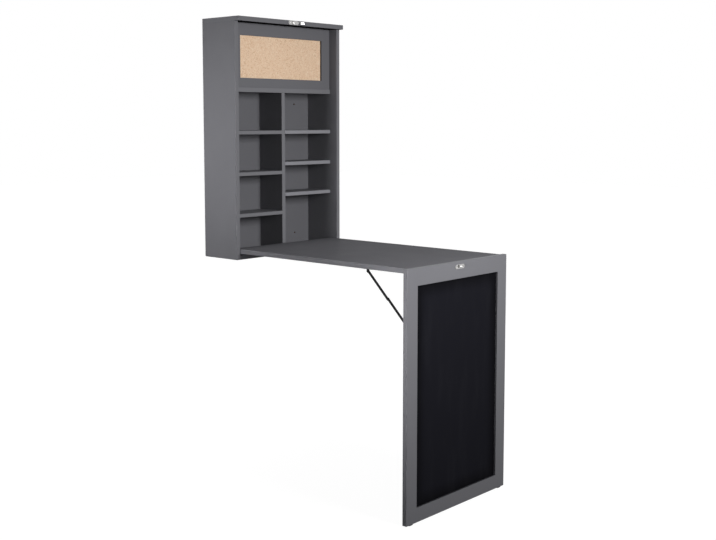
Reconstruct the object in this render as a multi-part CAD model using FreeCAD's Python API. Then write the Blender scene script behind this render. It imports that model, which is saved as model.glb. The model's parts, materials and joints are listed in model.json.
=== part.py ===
import FreeCAD, Part
import math
import os

# A wall-hung cabinet with a folding desk. All sizes are in millimetres.
# X runs to the right along the wall, Y runs into the wall and Z runs up.
# Places are first worked out with Z as the height above the floor, X from mid-width and Y from the wall.
# Every solid is then lowered so that the origin is the middle of the four wall screws.

# Whole object
cabinet_width = 490.0
side_depth = 158.0
total_height = 1500.0
desk_height = 750.0
top_overhang = 18.0

# Boards
board = 15.0
desk_board = 15.0
leg_board = 15.0
shelf_board = 12.0
back_board = 3.0
rail_board = 12.0
edge_ease = 0.6
groove_depth = 6.0
groove_fit = 0.5

# Running gaps of the fold
desk_side_gap = 1.5
leg_joint_gap = 0.3
closing_gap = 1.0
leg_top_gap = 3.0
shelf_swing_gap = 1.0
bottom_swing_gap = 3.0
desk_rear_radius = 3.0

# Cabinet inside
pinboard_height = 209.0
left_shelf_shares = (0.761, 0.504, 0.246)
right_shelf_shares = (0.761, 0.559, 0.361)

# Pinboard
pin_set_back = 3.0
pin_top_rail = 40.0
pin_bottom_rail = 31.0
pin_stile = 40.0
pin_tenon = 5.0
pin_tenon_length = 12.0
cork_recess = 6.0
cork_thickness = 5.0
cork_lap = 8.0

# Leg panel with its chalkboard
leg_stile = 47.0
leg_top_rail = 51.0
leg_bottom_rail = 44.0
chalk_recess = 6.0
chalk_thickness = 5.0
chalk_lap = 8.0
glide_radius = 10.0
glide_height = 3.0
glide_pin_radius = 1.2
glide_pin_length = 14.0
glide_edge = 1.0

# Hanging rails and wall screws
hanging_rail_height = 70.0
wall_hole_radius = 3.0
hanging_rail_clearance = 0.432
wall_holes_apart = 320.0

# Housings that carry the shelves and the divider
housing_depth = 4.0
housing_stop = 10.0

# Dowels that hold the pinboard between the sides
dowel_radius = 3.0
dowel_in_side = 7.0
dowel_in_stile = 14.0

# Cam fittings
cam_radius = 7.5
cam_depth = 12.0
cam_from_edge = 24.0
cam_bolt_radius = 3.0
cam_bolt_in_board = 9.0
cam_setback = 45.0

# Desk pivot pins and their bushes
pin_radius = 3.0
pin_in_desk = 25.0
bush_radius = 5.0
bush_flange_radius = 8.0
bush_flange = 1.0
bush_in_board = 11.0
bush_floor = 1.0
pivot_fit = 0.05

# Hinges between desk and leg
hinge_stand_off = 7.75
hinge_place = 150.0
hinge_length = 60.0
hinge_leaf_width = 26.0
hinge_leaf = 2.0
hinge_knuckle_radius = 3.5
hinge_pin_radius = 1.75
hinge_knuckle_gap = 0.3
hinge_pin_head_radius = 2.8
hinge_pin_head = 0.8
hinge_leaf_gap = 1.2

# Wood screws of the hinges and the stay brackets
screw_radius = 1.5
screw_head_radius = 3.1
screw_head_depth = 1.7
screw_length = 11.0
hole_fit = 0.05

# Folding stays
stay_reach = 150.0
stay_inset = 10.0
stay_metal = 2.0
stay_layer_gap = 0.2
stay_bar_width = 6.0
stay_eye_radius = 4.5
stay_bracket_length = 34.0
stay_bracket_width = 18.0
rivet_radius = 2.0
rivet_fit = 0.05
rivet_head_radius = 3.8
rivet_head = 1.3
rivet_short = 0.1

# Latch on the top panel and its keeper on the leg
latch_plate_length = 45.0
latch_plate_height = 13.0
latch_metal = 1.5
latch_screw_place = 16.0
latch_hook_metal = 2.0
latch_hook_gap = 0.5
latch_arm_width = 7.0
latch_boss_radius = 6.0
latch_notch_gap = 0.5
latch_nose = 5.5
latch_finger = 9.0
latch_finger_bend = 5.0
latch_rivet_radius = 2.0
latch_rivet_head_radius = 4.2
latch_rivet_head = 1.6
keeper_drop = 15.0
stud_neck_radius = 2.5
stud_head_radius = 4.5
stud_head = 2.0
stud_head_gap = 0.5

# Tools of the model itself
overrun = 2.0
same_place = 0.001

# Lines that several pieces share, as heights above the floor and depths from the wall
half_width = cabinet_width / 2
inner_half = half_width - board
top_under = total_height - board
leg_closed_top = top_under - leg_top_gap
leg_closed_inner_y = -(side_depth + closing_gap)
pivot_y = leg_closed_inner_y + 2 * hinge_stand_off + desk_board / 2
pivot_z = desk_height - desk_board / 2
rear_swing = math.sqrt(2) * (desk_board / 2 - desk_rear_radius) + desk_rear_radius
shelf_front_y = pivot_y + rear_swing + shelf_swing_gap
bottom_top = pivot_z - rear_swing - bottom_swing_gap
cabinet_bottom = bottom_top - board
fixed_shelf_top = top_under - pinboard_height
fixed_shelf_under = fixed_shelf_top - board
desk_under = desk_height - desk_board
desk_rear_y = pivot_y + desk_board / 2
desk_half = inner_half - desk_side_gap
hinge_y = pivot_y - (leg_closed_top - pivot_z - desk_board - hinge_stand_off)
hinge_z = desk_under - hinge_stand_off
leg_inner_y = hinge_y - hinge_stand_off
leg_outer_y = leg_inner_y - leg_board
desk_front_y = leg_inner_y + leg_joint_gap
back_front_y = -(rail_board + back_board)
top_front_y = -(side_depth + top_overhang)
wall_mid_z = (bottom_top + fixed_shelf_under) / 2
bay_height = fixed_shelf_under - bottom_top
wall_rows_apart = bay_height - hanging_rail_height - 2 * hanging_rail_clearance


def vector(x, y, z):
    return FreeCAD.Vector(x, y, z)


X_AXIS = vector(1, 0, 0)
Y_AXIS = vector(0, 1, 0)
Z_AXIS = vector(0, 0, 1)
ORIGIN = vector(0, 0, 0)


def block(x0, x1, y0, y1, z0, z1):
    return Part.makeBox(x1 - x0, y1 - y0, z1 - z0, vector(x0, y0, z0))


def rod(radius, start, direction, length):
    return Part.makeCylinder(radius, length, start, direction)


def hidden_rod(radius, start, direction, length):
    """A shaft that stays inside the boards, drawn six-sided to spare facets."""
    across = direction.cross(Z_AXIS if abs(direction.x) > 0.5 else X_AXIS)
    up = direction.cross(across)
    corners = []
    for corner in range(7):
        turn = math.radians(60 * corner)
        corners.append(start + across * radius * math.cos(turn) + up * radius * math.sin(turn))
    return Part.Face(Part.makePolygon(corners)).extrude(direction * length)


def fused(shapes):
    whole = shapes[0]
    for shape in shapes[1:]:
        whole = whole.fuse(shape)
    return whole.removeSplitter()


def cut_all(shape, tools):
    for tool in tools:
        shape = shape.cut(tool)
    return shape


def edges_along(shape, along, across, place):
    """Straight edges that run along one axis and lie at one place on another."""
    found = []
    for edge in shape.Edges:
        start = edge.Vertexes[0].Point
        run = edge.Vertexes[-1].Point - start
        straight = run.Length > same_place and abs(abs(run[along]) - run.Length) < same_place
        if straight and abs(start[across] - place) < same_place:
            found.append(edge)
    return found


def eased(shape, lines):
    """Takes the sharpness off the named edges of a board."""
    edges = []
    for along, across, place in lines:
        edges += edges_along(shape, along, across, place)
    return shape.makeChamfer(edge_ease, edges)


def mirrored(shape):
    return shape.mirror(ORIGIN, X_AXIS)


def pair(shape):
    """A piece on the right together with its mirror image on the left."""
    return Part.Compound([shape, mirrored(shape)])


def lowered(shape):
    placed = shape.copy()
    placed.translate(vector(0, 0, -wall_mid_z))
    return placed


# Screws, dowels and cams, which many boards share


def wood_screw(head, direction):
    """A countersunk screw with its flat head at the point given, driven along the direction."""
    shank = hidden_rod(screw_radius, head, direction, screw_length)
    cone = Part.makeCone(screw_head_radius, screw_radius, screw_head_depth, head, direction)
    return fused([shank, cone])


def screw_hole(head, direction):
    shaft = hidden_rod(screw_radius + hole_fit, head, direction, screw_length + hole_fit)
    start = head - direction * screw_head_depth
    grow = screw_head_radius - screw_radius
    sink = Part.makeCone(screw_head_radius + grow + hole_fit, screw_radius + hole_fit,
                         2 * screw_head_depth, start, direction)
    return shaft.fuse(sink)


def shelf_rows():
    """Each shelf with its name, its column and the height of its top."""
    rows = []
    for names, shares, column in ((("left_upper_shelf", "left_middle_shelf", "left_lower_shelf"),
                                   left_shelf_shares, -1),
                                  (("right_upper_shelf", "right_middle_shelf", "right_lower_shelf"),
                                   right_shelf_shares, 1)):
        for name, share in zip(names, shares):
            rows.append((name, column, bottom_top + share * bay_height))
    return rows


def shelf_shape(column, top):
    """A shelf whose ends are cut back at the front, so that their housings don't show."""
    inner = column * board / 2
    outer = column * inner_half
    body = block(min(inner, outer), max(inner, outer), shelf_front_y, back_front_y, top - shelf_board, top)
    body = eased(body, [(0, 1, shelf_front_y)])
    tongue = block(min(inner, outer) - housing_depth, max(inner, outer) + housing_depth,
                   shelf_front_y + housing_stop, back_front_y, top - shelf_board, top)
    return fused([body, tongue])


def shelf_shapes():
    return Part.Compound([shelf_shape(column, top) for _, column, top in shelf_rows()])


def divider_shape():
    body = block(-board / 2, board / 2, shelf_front_y, back_front_y, bottom_top, fixed_shelf_under)
    body = eased(body, [(2, 1, shelf_front_y)])
    tongue = block(-board / 2, board / 2, shelf_front_y + housing_stop, back_front_y,
                   bottom_top - housing_depth, fixed_shelf_under + housing_depth)
    return fused([body, tongue])


def pinboard_dowel_lines():
    """Dowels that hold the pinboard's frame between the sides."""
    y = pinboard_front_y() + board / 2
    lines = []
    for side in (-1, 1):
        for z in (fixed_shelf_top + pin_bottom_rail / 2, top_under - pin_top_rail / 2):
            start = vector(side * (inner_half + dowel_in_side), y, z)
            lines.append((start, -X_AXIS * side, dowel_in_side + dowel_in_stile))
    return lines


def pinboard_dowels():
    return Part.Compound([hidden_rod(dowel_radius, *line) for line in pinboard_dowel_lines()])


def pinboard_dowel_holes():
    holes = []
    for start, direction, length in pinboard_dowel_lines():
        holes.append(hidden_rod(dowel_radius + hole_fit, start - direction * hole_fit, direction,
                                length + 2 * hole_fit))
    return Part.Compound(holes)


def cam_places():
    """Each cam with the middle of its open face, the way its bolt runs and the way it is sunk."""
    places = []
    front_y = shelf_front_y + cam_setback
    rear_y = back_front_y - cam_setback
    for side in (-1, 1):
        for y in (front_y, rear_y):
            under = vector(side * (inner_half - cam_from_edge), y, cabinet_bottom)
            places.append((under, X_AXIS * side, Z_AXIS))
            face = vector(side * inner_half, y, top_under - cam_from_edge)
            places.append((face, Z_AXIS, X_AXIS * side))
    return places


def cam_bolt_line(place):
    """A bolt runs from the cam's wall into the next board."""
    face, run, sink = place
    start = face + sink * board / 2 + run * cam_radius
    return start, run, cam_from_edge - cam_radius + cam_bolt_in_board


def cam_holes():
    holes = []
    for place in cam_places():
        face, run, sink = place
        start, direction, length = cam_bolt_line(place)
        holes.append(rod(cam_radius + hole_fit, face, sink, cam_depth + hole_fit))
        holes.append(hidden_rod(cam_bolt_radius + hole_fit, start, direction, length + hole_fit))
    return Part.Compound(holes)


def cam_locks():
    """Round cams, sunk flush in the boards."""
    return Part.Compound([rod(cam_radius, face, sink, cam_depth) for face, _, sink in cam_places()])


def cam_bolts():
    bolts = []
    for place in cam_places():
        start, direction, length = cam_bolt_line(place)
        bolts.append(hidden_rod(cam_bolt_radius, start + direction * hole_fit, direction, length - hole_fit))
    return Part.Compound(bolts)


# Cabinet boards


def back_panel_block(fit):
    grow = groove_depth - fit
    return block(-inner_half - grow, inner_half + grow, back_front_y, back_front_y + back_board,
                 bottom_top - grow, top_under + grow)


def wall_holes(start_y, depth):
    holes = []
    for column in (-1, 1):
        for row in (-1, 1):
            start = vector(column * wall_holes_apart / 2, start_y, wall_mid_z + row * wall_rows_apart / 2)
            holes.append(rod(wall_hole_radius, start, Y_AXIS, depth))
    return Part.Compound(holes)


def bush_bore(side):
    start = vector(side * (inner_half + bush_in_board), pivot_y, pivot_z)
    return rod(bush_radius, start, -X_AXIS * side, bush_in_board)


def side_panel(side):
    outer = side * half_width
    inner = side * inner_half
    panel = block(min(outer, inner), max(outer, inner), -side_depth, 0, cabinet_bottom, top_under)
    panel = eased(panel, [(2, 1, -side_depth), (1, 2, cabinet_bottom)])
    return cut_all(panel, [back_panel_block(0), shelf_shapes(), fixed_shelf_shape(), pinboard_dowel_holes(),
                           cam_holes(), bush_bore(side)])


def top_panel():
    panel = block(-half_width, half_width, top_front_y, 0, top_under, total_height)
    panel = eased(panel, [(0, 1, top_front_y), (2, 1, top_front_y), (1, 2, total_height)])
    return cut_all(panel, [back_panel_block(0), cam_holes(), latch_screw_holes()])


def bottom_panel():
    panel = block(-inner_half, inner_half, -side_depth, 0, cabinet_bottom, bottom_top)
    panel = eased(panel, [(0, 1, -side_depth)])
    return cut_all(panel, [back_panel_block(0), divider_shape(), cam_holes()])


def fixed_shelf_shape():
    """The shelf under the pinboard, housed in both sides behind its cut-back front corners."""
    body = block(-inner_half, inner_half, shelf_front_y, back_front_y, fixed_shelf_under, fixed_shelf_top)
    body = eased(body, [(0, 1, shelf_front_y)])
    reach = inner_half + housing_depth
    tongue = block(-reach, reach, shelf_front_y + housing_stop, back_front_y,
                   fixed_shelf_under, fixed_shelf_top)
    return fused([body, tongue])


def fixed_shelf():
    return fixed_shelf_shape().cut(divider_shape())


def centre_divider():
    return divider_shape().cut(shelf_shapes())


def back_panel():
    return back_panel_block(groove_fit).cut(wall_holes(back_front_y - overrun, back_board + 2 * overrun))


def hanging_rail(row):
    middle = wall_mid_z + row * wall_rows_apart / 2
    rail = block(-inner_half, inner_half, -rail_board, 0,
                 middle - hanging_rail_height / 2, middle + hanging_rail_height / 2)
    return rail.cut(wall_holes(-rail_board - overrun, rail_board + 2 * overrun))


# Pinboard


def pinboard_limits():
    return (fixed_shelf_top + pin_bottom_rail, top_under - pin_top_rail)


def cork_block(thickness, front_y):
    low, high = pinboard_limits()
    reach = inner_half - pin_stile + cork_lap
    return block(-reach, reach, front_y, front_y + thickness, low - cork_lap, high + cork_lap)


def pinboard_front_y():
    return shelf_front_y + pin_set_back


def pinboard_rebate():
    return cork_block(board, pinboard_front_y() + cork_recess)


def pinboard_tenons():
    """Stub tenons at the rails' ends, all cut as one bar through each corner joint."""
    low, high = pinboard_limits()
    reach = inner_half - pin_stile + pin_tenon_length
    front = pinboard_front_y() + (cork_recess - pin_tenon) / 2
    bars = []
    for z0, z1 in ((fixed_shelf_top, low - cork_lap), (high + cork_lap, top_under)):
        bars.append(block(-reach, reach, front, front + pin_tenon, z0, z1))
    return Part.Compound(bars)


def pinboard_stile(side):
    outer = side * inner_half
    inner = side * (inner_half - pin_stile)
    front = pinboard_front_y()
    stile = block(min(outer, inner), max(outer, inner), front, front + board, fixed_shelf_top, top_under)
    return cut_all(stile, [pinboard_rebate(), pinboard_tenons(), pinboard_dowel_holes()])


def pinboard_rail(z0, z1):
    front = pinboard_front_y()
    reach = inner_half - pin_stile
    rail = block(-reach, reach, front, front + board, z0, z1)
    slab = block(-half_width, half_width, front, front + board, z0, z1)
    return fused([rail, pinboard_tenons().common(slab)]).cut(pinboard_rebate())


def cork_sheet():
    return cork_block(cork_thickness, pinboard_front_y() + cork_recess)


def pinboard_backing():
    front = pinboard_front_y() + cork_recess + cork_thickness
    return cork_block(board - cork_recess - cork_thickness, front)


# Desk and its pivots


def pivot_bush(side):
    """A flanged bush in the side panel, closed at its far end."""
    seat = vector(side * inner_half, pivot_y, pivot_z)
    body = rod(bush_radius, seat, X_AXIS * side, bush_in_board)
    flange = rod(bush_flange_radius, seat, -X_AXIS * side, bush_flange)
    start = vector(side * (inner_half + bush_in_board - bush_floor), pivot_y, pivot_z)
    bore = rod(pin_radius + pivot_fit, start, -X_AXIS * side, bush_in_board + bush_flange + overrun)
    return fused([body, flange]).cut(bore)


def pivot_pin(side):
    start = vector(side * (desk_half - pin_in_desk), pivot_y, pivot_z)
    length = pin_in_desk + desk_side_gap + bush_in_board - bush_floor - pivot_fit
    return rod(pin_radius, start, X_AXIS * side, length)


def pin_bores():
    bores = []
    for side in (-1, 1):
        start = vector(side * (desk_half - pin_in_desk - hole_fit), pivot_y, pivot_z)
        bores.append(rod(pin_radius + hole_fit, start, X_AXIS * side, pin_in_desk + overrun))
    return Part.Compound(bores)


def desk_top():
    """The desk board, rounded at its rear end so that it turns clear of the shelves."""
    desk = block(-desk_half, desk_half, desk_front_y, desk_rear_y, desk_under, desk_height)
    desk = desk.makeFillet(desk_rear_radius, edges_along(desk, 0, 1, desk_rear_y))
    desk = eased(desk, [(1, 0, -desk_half), (1, 0, desk_half), (0, 1, desk_front_y)])
    holes = [screw_hole(*line) for line in desk_screw_lines()]
    return cut_all(desk, [pin_bores()] + holes)


# Leg panel


def leg_limits():
    """Left and right, lower and upper limits of the chalkboard's opening."""
    reach = half_width - leg_stile
    return (-reach, reach, glide_height + leg_bottom_rail, desk_height - leg_top_rail)


def chalk_block(fit):
    x0, x1, z0, z1 = leg_limits()
    lap = chalk_lap - fit
    front = leg_outer_y + chalk_recess
    return block(x0 - lap, x1 + lap, front, front + chalk_thickness, z0 - lap, z1 + lap)


def leg_tenons():
    """Stub tenons of the rails, as thick as the chalkboard and in line with it."""
    x0, x1, z0, z1 = leg_limits()
    front = leg_outer_y + chalk_recess
    bars = []
    for low, high in ((glide_height, z0 - chalk_lap), (z1 + chalk_lap, desk_height)):
        bars.append(block(x0 - chalk_lap, x1 + chalk_lap, front, front + chalk_thickness, low, high))
    return Part.Compound(bars)


def leg_cuts():
    """What is cut out of the boards of the leg's frame, apart from its joints."""
    screws = [screw_hole(*line) for line in leg_screw_lines() + keeper_screw_lines()]
    return [chalk_block(0), glide_pin_holes(), stud_hole()] + screws


def leg_stile_board(side):
    outer = side * half_width
    inner = side * (half_width - leg_stile)
    stile = block(min(outer, inner), max(outer, inner), leg_outer_y, leg_inner_y, glide_height, desk_height)
    stile = eased(stile, [(2, 0, outer), (0, 2, desk_height)])
    return cut_all(stile, [leg_tenons()] + leg_cuts())


def leg_rail(z0, z1):
    x0, x1, _, _ = leg_limits()
    rail = block(x0, x1, leg_outer_y, leg_inner_y, z0, z1)
    if z1 == desk_height:
        rail = eased(rail, [(0, 2, desk_height)])
    slab = block(-half_width, half_width, leg_outer_y, leg_inner_y, z0, z1)
    return cut_all(fused([rail, leg_tenons().common(slab)]), leg_cuts())


def chalkboard():
    return chalk_block(groove_fit)


def glide_places():
    x = half_width - leg_stile / 2
    y = leg_outer_y + leg_board / 2
    return [vector(-x, y, 0), vector(x, y, 0)]


def foot_glides():
    """Nail-on glides that are cut off flat at both faces of the leg."""
    glides = []
    for foot in glide_places():
        disc = rod(glide_radius, foot, Z_AXIS, glide_height)
        disc = disc.makeChamfer(glide_edge, [edge for edge in disc.Edges
                                             if edge.BoundBox.ZMax < same_place and edge.Closed])
        disc = disc.common(block(foot.x - glide_radius, foot.x + glide_radius, leg_outer_y + glide_edge,
                                 leg_inner_y - glide_edge, 0, glide_height))
        nail = hidden_rod(glide_pin_radius, foot + Z_AXIS * (glide_height - glide_edge), Z_AXIS,
                          glide_pin_length)
        glides.append(disc.fuse(nail).removeSplitter())
    return Part.Compound(glides)


def glide_pin_holes():
    holes = []
    for foot in glide_places():
        holes.append(hidden_rod(glide_pin_radius + hole_fit, foot, Z_AXIS,
                                glide_height - glide_edge + glide_pin_length + hole_fit))
    return Part.Compound(holes)


# Hinges that join leg and desk in the inside corner


def hinge_spans(middle):
    """Along X, the desk leaf's one knuckle and the leg leaf's two."""
    third = hinge_length / 3
    low = middle - hinge_length / 2
    gap = hinge_knuckle_gap / 2
    desk = [(low + third + gap, low + 2 * third - gap)]
    leg = [(low, low + third - gap), (low + 2 * third + gap, low + hinge_length)]
    return desk, leg


def leaf_profile(x0, x1, width):
    """One cranked strip of leaf under the desk, from the hinge's axis at the origin of Y and Z."""
    outer = hinge_knuckle_radius
    inner = hinge_knuckle_radius - hinge_leaf
    plate = block(x0, x1, inner, width, hinge_stand_off - hinge_leaf, hinge_stand_off)
    web = block(x0, x1, inner, outer, 0, hinge_stand_off)
    return plate.fuse(web)


def hinge_leaf_shape(middle, spans):
    low = middle - hinge_length / 2
    high = middle + hinge_length / 2
    start = hinge_knuckle_radius + hinge_leaf_gap
    pieces = [block(low, high, start, hinge_leaf_width, hinge_stand_off - hinge_leaf, hinge_stand_off)]
    for x0, x1 in spans:
        pieces.append(leaf_profile(x0, x1, start + hinge_leaf))
        pieces.append(rod(hinge_knuckle_radius, vector(x0, 0, 0), X_AXIS, x1 - x0))
    bore = rod(hinge_pin_radius + hole_fit, vector(low - overrun, 0, 0), X_AXIS, hinge_length + 2 * overrun)
    return fused(pieces).cut(bore)


def on_desk(shape):
    """From the hinge's own axes to the desk's underside."""
    placed = shape.copy()
    placed.translate(vector(0, hinge_y, hinge_z))
    return placed


def on_leg(shape):
    """From the same axes to the leg's inner face, which mirrors the desk's underside about the corner."""
    placed = shape.mirror(ORIGIN, vector(0, 1, 1))
    placed.translate(vector(0, hinge_y, hinge_z))
    return placed


def hinge_screw_places(middle):
    """Two screws along the middle of each leaf, from the hinge's own axes."""
    near = hinge_knuckle_radius + hinge_leaf_gap + hinge_leaf
    side = hinge_length / 2 - 2 * screw_head_radius
    level = hinge_stand_off - hinge_leaf
    return [vector(middle + step, (near + hinge_leaf_width) / 2, level) for step in (-side, side)]


def hinge_leaves(carrier):
    leaves = []
    for middle in (-hinge_place, hinge_place):
        desk_spans, leg_spans = hinge_spans(middle)
        leaf = hinge_leaf_shape(middle, desk_spans if carrier == on_desk else leg_spans)
        for place in hinge_screw_places(middle):
            leaf = leaf.cut(screw_hole(place, Z_AXIS))
        leaves.append(carrier(leaf))
    return Part.Compound(leaves)


def hinge_pins():
    pins = []
    for middle in (-hinge_place, hinge_place):
        low = middle - hinge_length / 2
        shank = rod(hinge_pin_radius, vector(low, 0, 0), X_AXIS, hinge_length)
        head = rod(hinge_pin_head_radius, vector(low - hinge_pin_head, 0, 0), X_AXIS, hinge_pin_head)
        tail = rod(hinge_pin_head_radius, vector(low + hinge_length, 0, 0), X_AXIS, hinge_pin_head)
        pins.append(on_desk(fused([shank, head, tail])))
    return Part.Compound(pins)


# Folding stays: layers run inward from the ear on the desk to the ear on the leg


def stay_layers():
    """Outer distance from mid-width of the desk's ear, upper bar, lower bar and leg's ear."""
    outer = desk_half - stay_inset
    step = stay_metal + stay_layer_gap
    return [outer - step * count for count in range(4)]


def stay_bracket_screw_places(edge, inward):
    """Two screws along the plate, which runs inward or outward from its ear, from the hinge's axes."""
    x = edge - inward * (stay_bracket_width - 2 * screw_head_radius)
    y = stay_bracket_length / 2 - 2 * screw_head_radius
    level = hinge_stand_off - stay_metal
    return [vector(x, stay_reach - y, level), vector(x, stay_reach + y, level)]


def stay_bracket(ear_outer, inward):
    """An angle bracket: a screwed plate with one round-ended ear that carries the bar's rivet."""
    inner = ear_outer - stay_metal
    edge = ear_outer if inward > 0 else inner
    far = edge - inward * stay_bracket_width
    plate = block(min(edge, far), max(edge, far), stay_reach - stay_bracket_length / 2,
                  stay_reach + stay_bracket_length / 2, hinge_stand_off - stay_metal, hinge_stand_off)
    ear = block(inner, ear_outer, stay_reach - stay_eye_radius, stay_reach + stay_eye_radius,
                0, hinge_stand_off)
    ear_round = rod(stay_eye_radius, vector(inner, stay_reach, 0), X_AXIS, stay_metal)
    bore = rod(rivet_radius + rivet_fit, vector(inner - overrun, stay_reach, 0), X_AXIS,
               stay_metal + 2 * overrun)
    bracket = fused([plate, ear, ear_round]).cut(bore)
    for place in stay_bracket_screw_places(edge, inward):
        bracket = bracket.cut(screw_hole(place, Z_AXIS))
    return bracket


def stay_bar(start_y, start_z, end_y, end_z, outer):
    """A flat link with a round eye at each end, between two points seen from the side."""
    length = math.hypot(end_y - start_y, end_z - start_z)
    body = block(outer - stay_metal, outer, 0, length, -stay_bar_width / 2, stay_bar_width / 2)
    eyes = []
    bores = []
    for y in (0, length):
        eyes.append(rod(stay_eye_radius, vector(outer - stay_metal, y, 0), X_AXIS, stay_metal))
        bores.append(rod(rivet_radius + rivet_fit, vector(outer - stay_metal - overrun, y, 0), X_AXIS,
                         stay_metal + 2 * overrun))
    bar = cut_all(fused([body] + eyes), bores)
    bar.rotate(ORIGIN, X_AXIS, math.degrees(math.atan2(end_z - start_z, end_y - start_y)))
    bar.translate(vector(0, start_y, start_z))
    return bar


def stay_upper_bar(outer):
    return on_desk(stay_bar(stay_reach, 0, stay_reach / 2, -stay_reach / 2, outer))


def stay_lower_bar(outer):
    return on_desk(stay_bar(0, -stay_reach, stay_reach / 2, -stay_reach / 2, outer))


def flat_rivet(head_x, inward, y, z, layers):
    """A rivet whose round head bears on the first layer and whose shank ends just inside the last."""
    start = vector(head_x, y, z)
    length = layers * stay_metal + (layers - 1) * stay_layer_gap - rivet_short
    shank = rod(rivet_radius, start, X_AXIS * inward, length)
    head = Part.makeCone(rivet_head_radius, rivet_radius, rivet_head, start, -X_AXIS * inward)
    return fused([shank, head])


def stay_desk_rivets():
    layers = stay_layers()
    return pair(on_desk(flat_rivet(layers[0], -1, stay_reach, 0, 2)))


def stay_knee_rivet():
    layers = stay_layers()
    return on_desk(flat_rivet(layers[1], -1, stay_reach / 2, -stay_reach / 2, 1))


def stay_leg_rivets():
    layers = stay_layers()
    return pair(on_desk(flat_rivet(layers[3] - stay_metal, 1, 0, -stay_reach, 2)))


def bracket_screw_places(edge, inward):
    """Bracket screws from the hinge's own axes, on both sides of the desk."""
    places = stay_bracket_screw_places(edge, inward)
    return places + [vector(-place.x, place.y, place.z) for place in places]


def desk_screw_lines():
    layers = stay_layers()
    places = hinge_screw_places(-hinge_place) + hinge_screw_places(hinge_place)
    places += bracket_screw_places(layers[0], 1)
    corner = vector(0, hinge_y, hinge_z)
    return [(place + corner, Z_AXIS) for place in places]


def leg_screw_lines():
    layers = stay_layers()
    places = hinge_screw_places(-hinge_place) + hinge_screw_places(hinge_place)
    places += bracket_screw_places(layers[3] - stay_metal, -1)
    return [(vector(place.x, hinge_y - place.z, hinge_z - place.y), -Y_AXIS) for place in places]


def screws(lines):
    return Part.Compound([wood_screw(*line) for line in lines])


# Latch and keeper


def oval_plate(x, y, z, length, height):
    """A flat plate with round ends, its back at y and its face towards the room."""
    radius = height / 2
    reach = length / 2 - radius
    middle = block(x - reach, x + reach, y - latch_metal, y, z - radius, z + radius)
    ends = [rod(radius, vector(x + end * reach, y, z), -Y_AXIS, latch_metal) for end in (-1, 1)]
    return fused([middle] + ends)


def latch_screw_lines():
    z = top_under + board / 2
    face = top_front_y - latch_metal
    return [(vector(x, face, z), Y_AXIS) for x in (-latch_screw_place, latch_screw_place)]


def latch_screw_holes():
    return Part.Compound([screw_hole(*line) for line in latch_screw_lines()])


def latch_plate():
    z = top_under + board / 2
    plate = oval_plate(0, top_front_y, z, latch_plate_length, latch_plate_height)
    return plate.cut(latch_screw_holes())


def hook_back_y():
    return top_front_y - latch_metal - latch_hook_gap


def latch_rivet():
    """The shouldered rivet on which the hook turns."""
    z = top_under + board / 2
    start = vector(0, top_front_y - latch_metal, z)
    shoulder = rod(latch_rivet_head_radius, start, -Y_AXIS, latch_hook_gap)
    shank = rod(latch_rivet_radius, start, -Y_AXIS, latch_hook_gap + latch_hook_metal + latch_hook_gap)
    front = vector(0, hook_back_y() - latch_hook_metal - latch_hook_gap / 2, z)
    head = Part.makeCone(latch_rivet_head_radius, latch_rivet_radius, latch_rivet_head, front, -Y_AXIS)
    return fused([shoulder, shank, head])


def hook_radius():
    """From the hook's pivot down to the keeper's stud once the leg is closed."""
    return top_under + board / 2 - (leg_closed_top - keeper_drop)


def latch_hook():
    """A swinging arm with a curved notch that slides over the stud, drawn lying to the right."""
    z = top_under + board / 2
    back = hook_back_y()
    front = back - latch_hook_metal
    half = latch_arm_width / 2
    nose_x = hook_radius() + latch_notch_gap + stud_neck_radius + latch_nose
    tip_x = nose_x + latch_finger
    outline = [vector(0, back, z - half), vector(nose_x, back, z - half),
               vector(tip_x, back - latch_finger_bend, z - half),
               vector(tip_x, front - latch_finger_bend, z - half),
               vector(nose_x, front, z - half), vector(0, front, z - half)]
    arm = Part.Face(Part.makePolygon(outline + outline[:1])).extrude(Z_AXIS * latch_arm_width)
    boss = rod(latch_boss_radius, vector(0, back, z), -Y_AXIS, latch_hook_metal)
    hook = fused([arm, boss])
    slot = stud_neck_radius + latch_notch_gap
    pivot = vector(0, back + overrun, z)
    through = latch_hook_metal + 2 * overrun
    outside = rod(hook_radius() + slot, pivot, -Y_AXIS, through)
    inside = rod(hook_radius() - slot, pivot, -Y_AXIS, through)
    below = block(0, 2 * hook_radius(), front - overrun, back + overrun, z - latch_arm_width, z)
    end = rod(slot, pivot + X_AXIS * hook_radius(), -Y_AXIS, through)
    bore = rod(latch_rivet_radius + rivet_fit, pivot, -Y_AXIS, through)
    return cut_all(hook, [outside.cut(inside).common(below), end, bore])


def keeper_z():
    return desk_height - keeper_drop


def keeper_screw_lines():
    face = leg_outer_y - latch_metal
    return [(vector(x, face, keeper_z()), Y_AXIS) for x in (-latch_screw_place, latch_screw_place)]


def keeper_plate():
    plate = oval_plate(0, leg_outer_y, keeper_z(), latch_plate_length, latch_plate_height)
    holes = [screw_hole(*line) for line in keeper_screw_lines()]
    return cut_all(plate, holes + [stud_hole()])


def stud_hole():
    start = vector(0, leg_outer_y - latch_metal - overrun, keeper_z())
    return rod(stud_neck_radius + hole_fit, start, Y_AXIS, latch_metal + 2 * overrun)


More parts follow.
